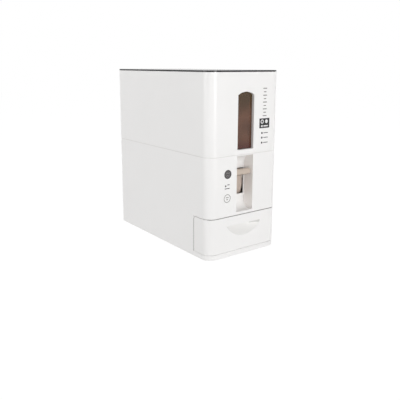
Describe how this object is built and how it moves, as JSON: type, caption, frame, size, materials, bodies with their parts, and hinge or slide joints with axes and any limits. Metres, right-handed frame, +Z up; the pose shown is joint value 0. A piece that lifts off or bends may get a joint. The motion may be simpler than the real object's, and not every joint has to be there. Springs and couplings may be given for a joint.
{
  "type": "rice dispenser with drawer",
  "caption": "Tall free-standing rice dispenser: flip lid over a sloped hopper, sight window, press-down lever working a measuring gate, and a catch drawer with a crescent finger pull.",
  "frame": {"origin": "middle of the footprint, on the floor", "axes": "+X to the right as seen from the front, +Y to the back, +Z up; the front faces -Y"},
  "size_m": [0.195, 0.385, 0.395],
  "materials": {
    "white_shell": "gloss",
    "inner_white": "satin",
    "lid_gloss": "gloss",
    "lever_grey": "satin",
    "smoked_pane": "gloss",
    "rubber": "matte",
    "steel": "satin"
  },
  "bodies": {
    "root": {"lower_housing": "white_shell", "upper_housing": "white_shell", "hopper": "inner_white", "window_pane": "smoked_pane", "base_frame": "inner_white", "rubber_feet": "rubber", "mid_deck": "inner_white", "pivot_bracket": "inner_white", "metering_chamber": "inner_white", "outlet_chute": "inner_white", "pivot_pins": "steel", "return_spring": "steel", "hinge_pins": "steel", "base_screws": "steel", "seam_screws": "steel", "bracket_screws": "steel", "chamber_screws": "steel"},
    "lid": {"lid_panel": "lid_gloss", "lid_liner": "inner_white", "lid_seal": "rubber"},
    "rocker": {"metering_rocker": "inner_white", "lever": "lever_grey"},
    "drawer": {"drawer_front": "white_shell", "drawer_tray": "inner_white", "drawer_screws": "steel"}
  },
  "joints": [
    {"name": "lid_hinge", "type": "hinge", "parent": "root", "child": "lid", "pos_m": [0, 0.1865, 0.392], "axis": [-1, 0, 0], "range_deg": [0, 100]},
    {"name": "lever_press", "type": "hinge", "parent": "root", "child": "rocker", "pos_m": [0, -0.1, 0.153], "axis": [1, 0, 0], "range_deg": [0, 26], "stiffness_Nm_per_rad": 0.35, "springref_deg": -20.05, "deforming": ["return_spring"]},
    {"name": "drawer_slide", "type": "slide", "parent": "root", "child": "drawer", "axis": [0, -1, 0], "range_m": [0, 0.15]}
  ]
}
